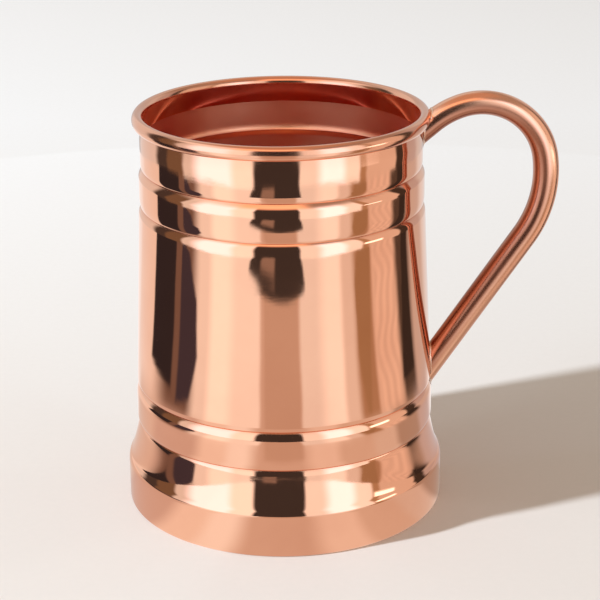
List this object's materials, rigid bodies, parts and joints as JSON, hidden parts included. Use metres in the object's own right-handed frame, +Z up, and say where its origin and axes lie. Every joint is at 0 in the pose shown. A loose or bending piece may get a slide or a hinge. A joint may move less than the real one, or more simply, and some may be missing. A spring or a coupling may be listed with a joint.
{
  "type": "copper mug",
  "caption": "Tall spun copper tankard mug with grooved wall, wired rolled lip, flared foot and a bent tube handle brazed to the side.",
  "frame": {"origin": "on the mug's turning axis, in the plane that it rests on", "axes": "+Z up along the mug's axis; +X towards the handle, whose centreline lies in the XZ plane; +Y completes the right-handed frame"},
  "size_m": [0.1431, 0.106, 0.1384],
  "materials": {
    "polished_copper": "copper, spun and polished to a mirror with faint turning lines",
    "handle_copper": "copper tube, polished lengthways",
    "base_copper": "copper, satin, slightly darker than the wall",
    "copper_wire": "drawn copper wire, plain",
    "braze": "pale silver-copper braze, brushed smooth"
  },
  "bodies": {
    "root": {"body_shell": "polished_copper", "rim_wire": "copper_wire", "base_plate": "base_copper", "base_seam": "braze", "handle_tube": "handle_copper", "upper_braze_fillet": "braze", "lower_braze_fillet": "braze"}
  },
  "joints": []
}
